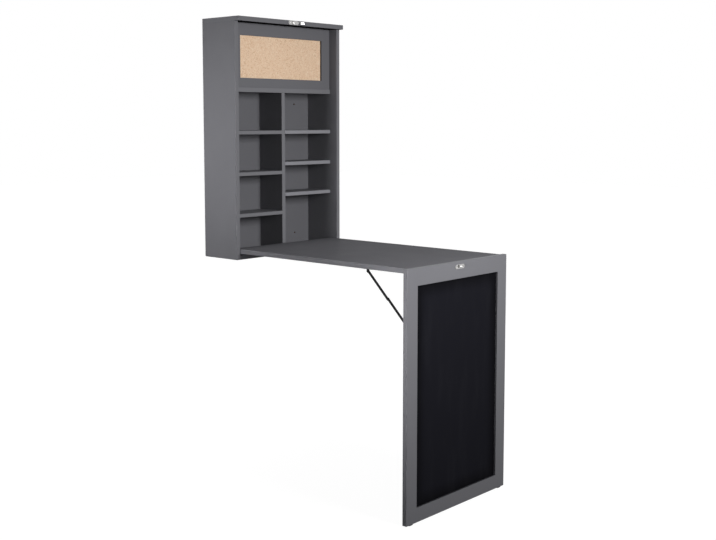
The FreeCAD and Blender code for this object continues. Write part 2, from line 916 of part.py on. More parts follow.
def keeper_stud():
    """A headed stud that stands out just far enough for the hook to pass behind its head."""
    hook_front = hook_back_y() - latch_hook_metal
    reach = (leg_closed_inner_y - leg_board) - (hook_front - stud_head_gap)
    seat_y = leg_outer_y - reach
    root = vector(0, leg_outer_y + overrun - hole_fit, keeper_z())
    neck = rod(stud_neck_radius, root, -Y_AXIS, reach + overrun - hole_fit)
    head = rod(stud_head_radius, vector(0, seat_y, keeper_z()), -Y_AXIS, stud_head)
    rim = [edge for edge in head.Edges if edge.Closed and edge.BoundBox.YMax < seat_y - same_place]
    return fused([neck, head.makeChamfer(stud_head / 4, rim)])


# Every node with its solid


def nodes():
    layers = stay_layers()
    low, high = pinboard_limits()
    _, _, chalk_low, chalk_high = leg_limits()
    shapes = {
        "left_side_panel": side_panel(-1),
        "right_side_panel": side_panel(1),
        "top_panel": top_panel(),
        "bottom_panel": bottom_panel(),
        "fixed_shelf": fixed_shelf(),
        "centre_divider": centre_divider(),
        "back_panel": back_panel(),
        "upper_hanging_rail": hanging_rail(1),
        "lower_hanging_rail": hanging_rail(-1),
        "pinboard_left_stile": pinboard_stile(-1),
        "pinboard_right_stile": pinboard_stile(1),
        "pinboard_top_rail": pinboard_rail(high, top_under),
        "pinboard_bottom_rail": pinboard_rail(fixed_shelf_top, low),
        "cork_sheet": cork_sheet(),
        "pinboard_backing": pinboard_backing(),
        "pinboard_dowels": pinboard_dowels(),
        "cam_locks": cam_locks(),
        "cam_bolts": cam_bolts(),
        "pivot_bushes": Part.Compound([pivot_bush(-1), pivot_bush(1)]),
        "latch_plate": latch_plate(),
        "latch_screws": screws(latch_screw_lines()),
        "latch_rivet": latch_rivet(),
        "latch_hook": latch_hook(),
        "desk_top": desk_top(),
        "pivot_pins": Part.Compound([pivot_pin(-1), pivot_pin(1)]),
        "desk_hinge_leaves": hinge_leaves(on_desk),
        "desk_stay_brackets": pair(on_desk(stay_bracket(layers[0], 1))),
        "stay_desk_rivets": stay_desk_rivets(),
        "desk_screws": screws(desk_screw_lines()),
        "leg_left_stile": leg_stile_board(-1),
        "leg_right_stile": leg_stile_board(1),
        "leg_top_rail": leg_rail(chalk_high, desk_height),
        "leg_bottom_rail": leg_rail(glide_height, chalk_low),
        "chalkboard": chalkboard(),
        "foot_glides": foot_glides(),
        "leg_hinge_leaves": hinge_leaves(on_leg),
        "hinge_pins": hinge_pins(),
        "leg_stay_brackets": pair(on_leg(stay_bracket(layers[3], -1))),
        "stay_leg_rivets": stay_leg_rivets(),
        "leg_screws": screws(leg_screw_lines()),
        "keeper_plate": keeper_plate(),
        "keeper_stud": keeper_stud(),
        "keeper_screws": screws(keeper_screw_lines()),
        "right_stay_upper_bar": stay_upper_bar(layers[1]),
        "left_stay_upper_bar": mirrored(stay_upper_bar(layers[1])),
        "right_stay_knee_rivet": stay_knee_rivet(),
        "left_stay_knee_rivet": mirrored(stay_knee_rivet()),
        "right_stay_lower_bar": stay_lower_bar(layers[2]),
        "left_stay_lower_bar": mirrored(stay_lower_bar(layers[2])),
    }
    for name, column, top in shelf_rows():
        shapes[name] = shelf_shape(column, top)
    return shapes


os.makedirs("parts", exist_ok=True)
for node, shape in nodes().items():
    lowered(shape).exportStep(os.path.join("parts", node + ".step"))
hook_z = top_under + board / 2
print("leg and desk hinge line at y", round(hinge_y, 3), "z", round(hinge_z - wall_mid_z, 3))
print("desk pivot line at y", round(pivot_y, 3), "z", round(pivot_z - wall_mid_z, 3))
print("hook pivot at z", round(hook_z - wall_mid_z, 3), "stud radius", round(hook_radius(), 3))
print("floor at z", round(-wall_mid_z, 3), "shelf fronts at y", round(shelf_front_y, 3))
print("wall screw rows apart", round(wall_rows_apart, 3))
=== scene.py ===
import json
import math

import bmesh
import bpy
import numpy as np
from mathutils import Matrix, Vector


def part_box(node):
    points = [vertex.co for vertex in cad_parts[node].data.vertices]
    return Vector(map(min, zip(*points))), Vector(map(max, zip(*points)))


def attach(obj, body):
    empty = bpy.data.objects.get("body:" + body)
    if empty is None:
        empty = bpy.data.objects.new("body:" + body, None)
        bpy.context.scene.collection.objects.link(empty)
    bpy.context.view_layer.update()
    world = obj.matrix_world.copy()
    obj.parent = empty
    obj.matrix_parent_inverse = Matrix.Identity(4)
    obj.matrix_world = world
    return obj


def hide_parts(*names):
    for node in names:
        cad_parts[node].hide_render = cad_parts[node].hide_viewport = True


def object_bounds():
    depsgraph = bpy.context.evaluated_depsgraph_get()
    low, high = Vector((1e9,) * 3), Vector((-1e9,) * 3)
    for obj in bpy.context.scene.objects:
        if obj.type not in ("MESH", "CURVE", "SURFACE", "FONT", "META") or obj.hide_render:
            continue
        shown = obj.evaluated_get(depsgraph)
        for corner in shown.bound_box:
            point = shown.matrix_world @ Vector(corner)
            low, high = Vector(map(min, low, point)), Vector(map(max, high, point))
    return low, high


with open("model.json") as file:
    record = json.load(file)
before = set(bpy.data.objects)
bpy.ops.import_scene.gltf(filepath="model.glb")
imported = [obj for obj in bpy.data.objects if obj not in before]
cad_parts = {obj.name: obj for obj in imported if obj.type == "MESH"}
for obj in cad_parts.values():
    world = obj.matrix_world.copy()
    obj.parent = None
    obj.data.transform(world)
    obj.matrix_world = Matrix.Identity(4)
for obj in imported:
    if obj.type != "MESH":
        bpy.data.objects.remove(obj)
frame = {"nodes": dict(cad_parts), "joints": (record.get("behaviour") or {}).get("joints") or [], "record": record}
cad_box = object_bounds()


# Side panels
# Two 15 mm particle boards faced on both sides with grey melamine film, with a 1 mm band of the same
# film ironed round their edges. The other boards are housed, dowelled or cam-locked between them.

def linear(code):
    """An sRGB hex colour as linear red, green, blue and alpha."""
    parts = np.array([int(code[i:i + 2], 16) / 255 for i in (1, 3, 5)])
    low = parts / 12.92
    high = ((parts + 0.055) / 1.055) ** 2.4
    return (*np.where(parts <= 0.04045, low, high).tolist(), 1.0)


def add(tree, kind, settings=None, values=None, links=None):
    """Adds one node, sets its options and its unlinked sockets, and joins sockets to its inputs."""
    node = tree.nodes.new(kind)
    for option, choice in (settings or {}).items():
        setattr(node, option, choice)
    for socket, value in (values or {}).items():
        node.inputs[socket].default_value = value
    for socket, source in (links or {}).items():
        tree.links.new(source, node.inputs[socket])
    return node


def per_metre(size):
    """How many features of a size in millimetres fit into a metre, which is a texture's scale."""
    return 1000 / size


def new_material(name):
    """An empty finish with its shader and the place of each point on the piece, in metres."""
    material = bpy.data.materials.new(name)
    material.use_nodes = True
    tree = material.node_tree
    place = add(tree, "ShaderNodeTexCoord").outputs["Object"]
    return material, tree, tree.nodes["Principled BSDF"], place


def dress(material, *names):
    """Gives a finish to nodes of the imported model, whose shapes stay as they are."""
    for name in names:
        for slot in frame["nodes"][name].material_slots:
            slot.material = material


GREY = "#66666a"
GREY_CLOUD = "#69696d"
# The band is a shade paler than the film: partly its own tone, partly a painted highlight on the edges.
GREY_BAND_AND_HIGHLIGHT = "#6e6e72"
GREY_SEAM = "#515155"
# Painted shade: the nearly black colour given to the top panel's underside.
UNDERSIDE_PAINTED_SHADE = "#17171a"
# In metres: the band's thickness, half the hairline's width, and how near a face a point lies on it.
BAND = 0.001
HALF_HAIRLINE = 0.00015
ON_FACE = 0.0001


def melamine(name, bands, gloss=0.08, band=GREY_BAND_AND_HIGHLIGHT, underside=None):
    """Grey melamine film on board, with a paler edge band, partly a painted highlight, and the dark hairline where
    the two meet.

    Each band is an axis, the place of its hairline in metres and the side that it lies on: a point is
    on the hairline where its distance from that place is under 0.15 mm, and on the band beyond it.
    An underside is the height of a lower face painted nearly black as painted shade: a point is painted
    so where it lies lower than 0.1 mm above that height.
    """
    material, tree, shader, place = new_material(name)
    # The printed film is even, with a faint cloudiness about 90 mm across.
    cloud = add(tree, "ShaderNodeTexNoise", values={"Scale": per_metre(90), "Detail": 3.0},
                links={"Vector": place})
    tone = add(tree, "ShaderNodeValToRGB", links={"Fac": cloud.outputs["Fac"]})
    for stop, where, code in zip(tone.color_ramp.elements, (0.3, 0.7), (GREY, GREY_CLOUD)):
        stop.position = where
        stop.color = linear(code)
    axes = add(tree, "ShaderNodeSeparateXYZ", links={"Vector": place})
    colour = tone.outputs["Color"]
    for axis, where, side in bands:
        beyond = add(tree, "ShaderNodeMath", {"operation": side}, {1: where}, {0: axes.outputs[axis]})
        edge = add(tree, "ShaderNodeMix", {"data_type": "RGBA"}, {"B": linear(band)},
                   {"Factor": beyond.outputs[0], "A": colour})
        near = add(tree, "ShaderNodeMath", {"operation": "COMPARE"}, {1: where, 2: HALF_HAIRLINE},
                   {0: axes.outputs[axis]})
        line = add(tree, "ShaderNodeMix", {"data_type": "RGBA"}, {"B": linear(GREY_SEAM)},
                   {"Factor": near.outputs[0], "A": edge.outputs["Result"]})
        colour = line.outputs["Result"]
    # The lower face is painted nearly black as painted shade.
    if underside is not None:
        below = add(tree, "ShaderNodeMath", {"operation": "LESS_THAN"}, {1: underside + ON_FACE},
                    {0: axes.outputs["Z"]})
        shaded_underside = add(tree, "ShaderNodeMix", {"data_type": "RGBA"}, {"B": linear(UNDERSIDE_PAINTED_SHADE)},
                     {"Factor": below.outputs[0], "A": colour})
        colour = shaded_underside.outputs["Result"]
    tree.links.new(colour, shader.inputs["Base Color"])
    # The press plate leaves a pearl texture. Its grains are 0.6 mm, drawn at 1.5 mm so that they show.
    pearl = add(tree, "ShaderNodeTexNoise", values={"Scale": per_metre(1.5), "Detail": 2.0},
                links={"Vector": place})
    bump = add(tree, "ShaderNodeBump", values={"Strength": 0.3, "Distance": 0.0002},
               links={"Height": pearl.outputs["Fac"]})
    tree.links.new(bump.outputs["Normal"], shader.inputs["Normal"])
    # Handling leaves the satin a little uneven over patches about 40 mm across.
    rub = add(tree, "ShaderNodeTexNoise", values={"Scale": per_metre(40), "Detail": 4.0},
              links={"Vector": place})
    satin = add(tree, "ShaderNodeMapRange", values={"To Min": 0.44, "To Max": 0.54},
                links={"Value": rub.outputs["Fac"]})
    tree.links.new(satin.outputs["Result"], shader.inputs["Roughness"])
    shader.inputs["Specular IOR Level"].default_value = gloss
    return material


side_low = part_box("left_side_panel")[0]
front_band = ("Y", side_low.y + BAND, "LESS_THAN")
foot_band = ("Z", side_low.z + BAND, "LESS_THAN")
dress(melamine("melamine_board_sides", [front_band, foot_band]), "left_side_panel", "right_side_panel")


# Top and bottom panels
# Two of the same faced boards. The top one lies over the sides and overhangs them at the front, where
# it carries the latch, and its underside is painted nearly black as painted shade. The bottom one sits
# between the sides.

top_low, top_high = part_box("top_panel")
top_bands = [("Y", top_low.y + BAND, "LESS_THAN"), ("X", top_low.x + BAND, "LESS_THAN"),
             ("X", top_high.x - BAND, "GREATER_THAN")]
dress(melamine("melamine_board_top", top_bands, gloss=0.0, underside=top_low.z), "top_panel")
dress(melamine("melamine_board_bottom", [front_band]), "bottom_panel")


# Fixed shelf, divider and the six shelves
# Thinner boards of the same film, glued into stopped housings, so that only their banded front edges
# show a joint. Their fronts stand back from the sides to let the desk fold in.

shelf_bands = [("Y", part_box("fixed_shelf")[0].y + BAND, "LESS_THAN")]
# Their band is paler still, partly a painted highlight on their front edges.
dress(melamine("melamine_board_shelves", shelf_bands, band="#727276"),
      "fixed_shelf", "centre_divider", "left_upper_shelf", "left_middle_shelf", "left_lower_shelf")
# The three on the right wear a paler band still, which is a painted highlight on their front edges.
dress(melamine("melamine_board_right_shelves", shelf_bands, band="#88888d"),
      "right_upper_shelf", "right_middle_shelf", "right_lower_shelf")


# Back panel
# A 3 mm hardboard slid into grooves. Its face towards the room has a grey foil, and the face towards
# the wall is bare brown fibre.

def hardboard(name):
    """Foil on the side that faces the room, bare pressed fibre on every other side.

    The room lies towards -Y: a point is on the foil where the Y of its normal is below -0.5.
    """
    material, tree, shader, place = new_material(name)
    # The foil's print has a faint cloudiness about 70 mm across.
    cloud = add(tree, "ShaderNodeTexNoise", values={"Scale": per_metre(70), "Detail": 3.0},
                links={"Vector": place})
    foil = add(tree, "ShaderNodeMix", {"data_type": "RGBA"}, {"A": linear(GREY), "B": linear(GREY_CLOUD)},
               {"Factor": cloud.outputs["Fac"]})
    # Fibre bundles about 2 mm long lie in all directions.
    fibre = add(tree, "ShaderNodeTexNoise", values={"Scale": per_metre(2), "Detail": 5.0, "Distortion": 1.2},
                links={"Vector": place})
    bare = add(tree, "ShaderNodeMix", {"data_type": "RGBA"}, {"A": linear("#6b4a30"), "B": linear("#96704d")},
               {"Factor": fibre.outputs["Fac"]})
    facing = add(tree, "ShaderNodeTexCoord").outputs["Normal"]
    away = add(tree, "ShaderNodeSeparateXYZ", links={"Vector": facing})
    front = add(tree, "ShaderNodeMath", {"operation": "LESS_THAN"}, {1: -0.5}, {0: away.outputs["Y"]})
    colour = add(tree, "ShaderNodeMix", {"data_type": "RGBA"}, None,
                 {"Factor": front.outputs[0], "A": bare.outputs["Result"], "B": foil.outputs["Result"]})
    tree.links.new(colour.outputs["Result"], shader.inputs["Base Color"])
    rough = add(tree, "ShaderNodeMapRange", values={"To Min": 0.8, "To Max": 0.5},
                links={"Value": front.outputs[0]})
    tree.links.new(rough.outputs["Result"], shader.inputs["Roughness"])
    bump = add(tree, "ShaderNodeBump", values={"Strength": 0.2, "Distance": 0.0001},
               links={"Height": fibre.outputs["Fac"]})
    tree.links.new(bump.outputs["Normal"], shader.inputs["Normal"])
    shader.inputs["Specular IOR Level"].default_value = 0.08
    return material


dress(hardboard("foiled_hardboard"), "back_panel", "pinboard_backing")


# Hanging rails and dowels
# Planed softwood laths behind the back panel, which the wall screws go through, and the beech pegs
# that hold the pinboard. They are left raw, because nobody sees them once the cabinet hangs.

def planed_wood(name, pale, dark, bore=None, bore_radius=0.0):
    """Planed wood whose grain runs along X: rings are level lines of a noise that is stretched along X.

    A bore is the X, 0 and Z of one of four holes, one in each quarter: a point is in a hole where,
    with its X and Z taken as positive and its Y as 0, it is nearer to that place than the radius.
    """
    material, tree, shader, place = new_material(name)
    # Growth rings 3 to 12 mm apart wander slowly along a lath. The noise swings over 45 mm across the
    # grain and 1.1 m along it, and 14 level lines of it are drawn.
    along = add(tree, "ShaderNodeMapping", values={"Scale": (per_metre(1100), per_metre(45), per_metre(45))},
                links={"Vector": place})
    growth = add(tree, "ShaderNodeTexNoise", values={"Scale": 1.0, "Detail": 1.0, "Roughness": 0.35},
                 links={"Vector": along.outputs["Vector"]})
    years = add(tree, "ShaderNodeMath", {"operation": "MULTIPLY"}, {1: 14.0}, {0: growth.outputs["Fac"]})
    season = add(tree, "ShaderNodeMath", {"operation": "FRACT"}, None, {0: years.outputs[0]})
    # Pale early wood turns slowly to brown late wood within a year, then jumps back.
    rings = add(tree, "ShaderNodeMapRange", {"interpolation_type": "SMOOTHSTEP"}, {"From Min": 0.25},
                {"Value": season.outputs[0]})
    grain = add(tree, "ShaderNodeMix", {"data_type": "RGBA"}, {"A": linear(pale), "B": linear(dark)},
                {"Factor": rings.outputs["Result"]})
    # Pores are dark flecks 14 mm long and 0.7 mm wide.
    pores = add(tree, "ShaderNodeMapping", values={"Scale": (per_metre(14), per_metre(0.7), per_metre(0.7))},
                links={"Vector": place})
    pore = add(tree, "ShaderNodeTexNoise", values={"Scale": 1.0, "Detail": 3.0},
               links={"Vector": pores.outputs["Vector"]})
    fleck = add(tree, "ShaderNodeMapRange",
                values={"From Min": 0.55, "From Max": 0.8, "To Min": 0.0, "To Max": 0.35},
                links={"Value": pore.outputs["Fac"]})
    flecked = add(tree, "ShaderNodeMix", {"data_type": "RGBA"}, {"B": linear(dark)},
                  {"Factor": fleck.outputs["Result"], "A": grain.outputs["Result"]})
    colour = flecked.outputs["Result"]
    if bore:
        # The bores for the wall screws are painted dark brown: partly their darker end grain, partly painted shade
        # inside the holes.
        mirror = add(tree, "ShaderNodeVectorMath", {"operation": "ABSOLUTE"}, None, {0: place})
        flat = add(tree, "ShaderNodeVectorMath", {"operation": "MULTIPLY"}, {1: (1.0, 0.0, 1.0)},
                   {0: mirror.outputs["Vector"]})
        reach = add(tree, "ShaderNodeVectorMath", {"operation": "DISTANCE"}, {1: bore},
                    {0: flat.outputs["Vector"]})
        bored = add(tree, "ShaderNodeMath", {"operation": "LESS_THAN"}, {1: bore_radius},
                    {0: reach.outputs["Value"]})
        drilled = add(tree, "ShaderNodeMix", {"data_type": "RGBA"}, {"B": linear("#2e2219")},
                      {"Factor": bored.outputs[0], "A": colour})
        colour = drilled.outputs["Result"]
    tree.links.new(colour, shader.inputs["Base Color"])
    bump = add(tree, "ShaderNodeBump", values={"Strength": 0.15, "Distance": 0.0002},
               links={"Height": pore.outputs["Fac"]})
    tree.links.new(bump.outputs["Normal"], shader.inputs["Normal"])
    shader.inputs["Roughness"].default_value = 0.68
    return material


wall_holes = frame["record"]["mounts"][0]["dims"]
wall_bore = (wall_holes["spacing_x_mm"] / 2000, 0.0, wall_holes["spacing_y_mm"] / 2000)
# The dark reaches 0.4 mm past the hole, so that it also covers its rim.
dark_radius = (wall_holes["hole_r_mm"] + 0.4) / 1000
dress(planed_wood("raw_pine", "#d8b98c", "#b58a58", wall_bore, dark_radius),
      "upper_hanging_rail", "lower_hanging_rail")
dress(planed_wood("raw_beech", "#d6b08c", "#c0936b"), "pinboard_dowels")


# Pinboard
# Two stiles and two rails of grey lacquered fibreboard round a sheet of pressed cork. The frame is
# machined sharp and sprayed, so it has no edge band, and the cork lies in a rebate behind it.

def lacquer(name, right_stile, bottom_rail, top_rail):
    """Grey sprayed lacquer on fibreboard, with the fine orange peel of the spray gun.

    The walls of the opening are painted darker, as painted shade in the rebate: a point is on them where
    it lies inside the opening's outline or within 0.1 mm of it.
    """
    material, tree, shader, place = new_material(name)
    # The coat has a faint cloudiness about 110 mm across.
    cloud = add(tree, "ShaderNodeTexNoise", values={"Scale": per_metre(110), "Detail": 2.0},
                links={"Vector": place})
    coat = add(tree, "ShaderNodeMix", {"data_type": "RGBA"}, {"A": linear(GREY), "B": linear(GREY_CLOUD)},
               {"Factor": cloud.outputs["Fac"]})
    half_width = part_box(right_stile)[0].x
    low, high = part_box(bottom_rail)[1].z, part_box(top_rail)[0].z
    axes = add(tree, "ShaderNodeSeparateXYZ", links={"Vector": place})
    across = add(tree, "ShaderNodeMath", {"operation": "COMPARE"}, {1: 0.0, 2: half_width + ON_FACE},
                 {0: axes.outputs["X"]})
    upright = add(tree, "ShaderNodeMath", {"operation": "COMPARE"},
                  {1: (low + high) / 2, 2: (high - low) / 2 + ON_FACE}, {0: axes.outputs["Z"]})
    # Painted shade on the walls of the opening.
    shaded_wall = add(tree, "ShaderNodeMath", {"operation": "MULTIPLY"}, None,
               {0: across.outputs[0], 1: upright.outputs[0]})
    colour = add(tree, "ShaderNodeMix", {"data_type": "RGBA"}, {"B": linear("#2f2f32")},
                 {"Factor": shaded_wall.outputs[0], "A": coat.outputs["Result"]})
    tree.links.new(colour.outputs["Result"], shader.inputs["Base Color"])
    # Orange peel has ripples about 2 mm apart.
    peel = add(tree, "ShaderNodeTexNoise", values={"Scale": per_metre(2), "Detail": 1.0},
               links={"Vector": place})
    bump = add(tree, "ShaderNodeBump", values={"Strength": 0.25, "Distance": 0.0002},
               links={"Height": peel.outputs["Fac"]})
    tree.links.new(bump.outputs["Normal"], shader.inputs["Normal"])
    # Handling leaves patches about 35 mm across a little duller.
    rub = add(tree, "ShaderNodeTexNoise", values={"Scale": per_metre(35), "Detail": 4.0},
              links={"Vector": place})
    satin = add(tree, "ShaderNodeMapRange", values={"To Min": 0.42, "To Max": 0.52},
                links={"Value": rub.outputs["Fac"]})
    tree.links.new(satin.outputs["Result"], shader.inputs["Roughness"])
    shader.inputs["Specular IOR Level"].default_value = 0.08
    return material


dress(lacquer("lacquered_pinboard_frame",
              "pinboard_right_stile", "pinboard_bottom_rail", "pinboard_top_rail"),
      "pinboard_left_stile", "pinboard_right_stile", "pinboard_top_rail", "pinboard_bottom_rail")
# The middle size of a cork granule, in millimetres.
GRANULE = 2.3


def pressed_cork(name):
    """Agglomerated cork: each granule is one cell with its own tone, and its rim is a little lower."""
    material, tree, shader, place = new_material(name)
    # Granules are 1 to 3 mm across. The darkest tones are a few bits of bark.
    cells = add(tree, "ShaderNodeTexVoronoi", values={"Scale": per_metre(GRANULE), "Randomness": 1.0},
                links={"Vector": place})
    pick = add(tree, "ShaderNodeSeparateColor", links={"Color": cells.outputs["Color"]})
    tone = add(tree, "ShaderNodeValToRGB", links={"Fac": pick.outputs["Red"]})
    stops = tone.color_ramp.elements
    stops[0].color = linear("#c09a77")
    stops[1].color = linear("#f3dfc9")
    for where, code in ((0.04, "#d4ae8b"), (0.12, "#e2bf9f"), (0.5, "#e8c9aa"), (0.85, "#eed4b9")):
        stops.new(where).color = linear(code)
    # The sheet is sliced from a block, so its tone also drifts over about 25 mm.
    drift = add(tree, "ShaderNodeTexNoise", values={"Scale": per_metre(25), "Detail": 4.0},
                links={"Vector": place})
    shade = add(tree, "ShaderNodeMapRange", values={"To Min": 0.0, "To Max": 0.4},
                links={"Value": drift.outputs["Fac"]})
    colour = add(tree, "ShaderNodeMix", {"data_type": "RGBA"}, {"B": linear("#e2c0a2")},
                 {"Factor": shade.outputs["Result"], "A": tone.outputs["Color"]})
    tree.links.new(colour.outputs["Result"], shader.inputs["Base Color"])
    rims = add(tree, "ShaderNodeTexVoronoi", {"feature": "DISTANCE_TO_EDGE"},
               {"Scale": per_metre(GRANULE), "Randomness": 1.0}, {"Vector": place})
    rim = add(tree, "ShaderNodeMapRange", values={"From Max": 0.12},
              links={"Value": rims.outputs["Distance"]})
    bump = add(tree, "ShaderNodeBump", values={"Strength": 0.5, "Distance": 0.0003},
               links={"Height": rim.outputs["Result"]})
    tree.links.new(bump.outputs["Normal"], shader.inputs["Normal"])
    shader.inputs["Roughness"].default_value = 0.85
    shader.inputs["Specular IOR Level"].default_value = 0.15
    return material


dress(pressed_cork("pressed_cork"), "cork_sheet")


# Cam fittings
# Zinc castings 15 mm across, pushed into drillings in the bottom panel and the sides. A cross-slot in
# the open face turns the cam, which pulls on the head of a steel bolt in the next board.

# Faces that meet at more than this angle keep a sharp edge between them.
SHARP_EDGE = math.radians(32)


def shells(name, rings, material, body, replaces):
    """Closed shells from rings of points, as an array of shell, ring, point round it and X, Y, Z.

    Quads join each ring to the next and each point to the next one round, and a single point closes
    each end: the mean of the first ring and of the last.
    """
    count, rows, columns, _ = rings.shape
    ends = rings[:, [0, -1]].mean(axis=2)
    points = np.concatenate([ends[:, :1], rings[:, 1:-1].reshape(count, -1, 3), ends[:, 1:]], axis=1)
    per = points.shape[1]
    here = np.arange(columns)
    after = np.roll(here, -1)
    start = 1 + np.arange(rows - 3)[:, None] * columns
    quads = np.stack([start + here, start + after, start + columns + after, start + columns + here], -1)
    last = per - 1 - columns
    caps = np.concatenate([np.stack([0 * here, 1 + after, 1 + here], -1),
                           np.stack([0 * here + per - 1, last + here, last + after], -1)])
    shift = (np.arange(count) * per)[:, None, None]
    faces = (quads.reshape(-1, 4)[None] + shift).reshape(-1, 4).tolist()
    faces += (caps[None] + shift).reshape(-1, 3).tolist()
    mesh = bpy.data.meshes.new(name)
    mesh.from_pydata(points.reshape(-1, 3).tolist(), [], faces)
    shape = bmesh.new()
    shape.from_mesh(mesh)
    bmesh.ops.recalc_face_normals(shape, faces=shape.faces)
    shape.to_mesh(mesh)
    shape.free()
    mesh.shade_smooth()
    mesh.set_sharp_from_angle(angle=SHARP_EDGE)
    piece = bpy.data.objects.new(name, mesh)
    bpy.context.scene.collection.objects.link(piece)
    mesh.materials.append(material)
    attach(piece, body)
    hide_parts(*replaces)


def turned(seats, outwards, radii, heights):
    """Rings round an axis: each point is its seat, plus height along the axis, plus radius round it.

    Radii and heights, in millimetres, are arrays of ring and point, so a face may carry a recess.
    """
    seats = np.asarray(seats, float) / 1000
    axis = np.asarray(outwards, float)
    helper = np.roll(axis, 1, axis=-1)
    right = np.cross(axis, helper)
    up = np.cross(axis, right)
    turn = np.linspace(0, 2 * np.pi, radii.shape[1], endpoint=False)
    flat = right[:, None] * np.cos(turn)[None, :, None] + up[:, None] * np.sin(turn)[None, :, None]
    round_part = flat[:, None] * (radii / 1000)[None, :, :, None]
    rise_part = axis[:, None, None] * (heights / 1000)[None, :, :, None]
    return seats[:, None, None] + round_part + rise_part


# The width of the soft step at a recess's walls, in millimetres.
RECESS_STEP = 0.12


def cross_recess(radii, columns, arm, width, depth):
    """How far each point of a driver's cross is sunk below the face.

    It is the full depth within half the width of an arm's middle line, with the soft step at the
    walls, and out to 0.6 of the arm's length. From there it rises evenly to nothing at 1.1 of it.
    """
    turn = np.linspace(0, 2 * np.pi, columns, endpoint=False)
    across = np.minimum(np.abs(radii * np.cos(turn)), np.abs(radii * np.sin(turn)))
    in_width = np.clip((width / 2 - across) / RECESS_STEP + 0.5, 0, 1)
    in_length = np.clip((arm - radii) / (0.5 * arm) + 0.2, 0, 1)
    return depth * in_width * in_length


def zinc(name, code, rough):
    """Zinc on steel or cast zinc: a bright grey metal, dulled by fine clouds about 6 mm across."""
    material, tree, shader, place = new_material(name)
    cloud = add(tree, "ShaderNodeTexNoise", values={"Scale": per_metre(6), "Detail": 5.0},
                links={"Vector": place})
    satin = add(tree, "ShaderNodeMapRange", values={"To Min": rough - 0.08, "To Max": rough + 0.1},
                links={"Value": cloud.outputs["Fac"]})
    tree.links.new(satin.outputs["Result"], shader.inputs["Roughness"])
    tone = add(tree, "ShaderNodeMix", {"data_type": "RGBA"}, {"A": linear(code), "B": linear("#d4d6da")},
               {"Factor": cloud.outputs["Fac"]})
    tree.links.new(tone.outputs["Result"], shader.inputs["Base Color"])
    shader.inputs["Metallic"].default_value = 1.0
    return material


cast_zinc = zinc("cast_zinc", "#a7a9ad", 0.42)
# In millimetres: a cam's radius, those of its face and its foot inside the chamfers, and its depth. The
# inset is from the bottom panel's end to the middle of a cam in its lower face.
CAM_RADIUS = 7.5
CAM_FACE = 7.1
CAM_FOOT = 7.2
CAM_DEPTH = 12.0
CAM_INSET = 24.0
FACE_RINGS = 22
CAM_POINTS = 64
cam_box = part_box("cam_locks")
cam_y = [cam_box[0].y * 1000 + CAM_RADIUS, cam_box[1].y * 1000 - CAM_RADIUS]
cam_under_z = cam_box[0].z * 1000
cam_side_z = cam_box[1].z * 1000 - CAM_RADIUS
cam_side_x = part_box("bottom_panel")[1].x * 1000
cam_seats = [(s * (cam_side_x - CAM_INSET), y, cam_under_z) for s in (-1, 1) for y in cam_y]
cam_seats += [(s * cam_side_x, y, cam_side_z) for s in (-1, 1) for y in cam_y]
cam_ways = [(0, 0, -1)] * 4 + [(-1, 0, 0)] * 2 + [(1, 0, 0)] * 2
cam_profile = np.concatenate([np.linspace(0, CAM_FACE, FACE_RINGS),
                              [CAM_RADIUS, CAM_RADIUS, CAM_FOOT, 0]])
cam_radii = cam_profile[:, None] * np.ones(CAM_POINTS)
cam_sunk = cross_recess(cam_radii, CAM_POINTS, arm=5.2, width=1.5, depth=2.2)
cam_sunk[FACE_RINGS:] = 0
cam_drop = np.concatenate([np.zeros(FACE_RINGS), [0.35, CAM_DEPTH - 0.3, CAM_DEPTH, CAM_DEPTH]])[:, None]
shells("cam_castings", turned(cam_seats, cam_ways, cam_radii, -cam_sunk - cam_drop), cast_zinc,
       "cabinet", ["cam_locks"])
zinc_plate = zinc("zinc_plated_steel", "#b4b7bc", 0.34)
dress(zinc_plate, "cam_bolts")


# Latch on the top panel
# A nickel-plated plate with round ends, held by two countersunk screws, and a swinging hook on a
# shouldered rivet. The hook's notch drops over the keeper's stud when the leg is folded up.

def nickel(name):
    """Bright nickel plate: a warm white metal, nearly a mirror, with polishing haze about 3 mm across."""
    material, tree, shader, place = new_material(name)
    haze_and_shade = add(tree, "ShaderNodeTexNoise", values={"Scale": per_metre(3), "Detail": 3.0},
               links={"Vector": place})
    polish = add(tree, "ShaderNodeMapRange", values={"To Min": 0.1, "To Max": 0.22},
                 links={"Value": haze_and_shade.outputs["Fac"]})
    tree.links.new(polish.outputs["Result"], shader.inputs["Roughness"])
    bump = add(tree, "ShaderNodeBump", values={"Strength": 0.08, "Distance": 0.0002},
               links={"Height": haze_and_shade.outputs["Fac"]})
    tree.links.new(bump.outputs["Normal"], shader.inputs["Normal"])
    shader.inputs["Base Color"].default_value = linear("#b9b8b7")
    shader.inputs["Metallic"].default_value = 1.0
    return material


# In millimetres: the radius of a screw's head at its rim, and how far left and right of its middle a
# plate has its screws.
SCREW_HEAD = 3.1
PLATE_SCREW_X = 16.0
HEAD_RINGS = 18


def screw_rings(seats, ways, columns=40):
    """Countersunk wood screws with a cross recess, from the head's middle over its rim to the point.

    The last six rings are the two edges of the rim, the ends of the cone and of the shank, the taper
    and the point.
    """
    face = np.linspace(0, 2.75, HEAD_RINGS)
    radius = np.concatenate([face, [3.0, SCREW_HEAD, 1.5, 1.5, 0.9, 0]])
    height = np.concatenate([0.0 * face, [-0.03, -0.14, -1.7, -9.0, -10.3, -11.0]])
    radii = radius[:, None] * np.ones(columns)
    sunk = cross_recess(radii, columns, arm=2.3, width=0.95, depth=1.3)
    sunk[HEAD_RINGS:] = 0
    return turned(seats, ways, radii, height[:, None] - sunk)


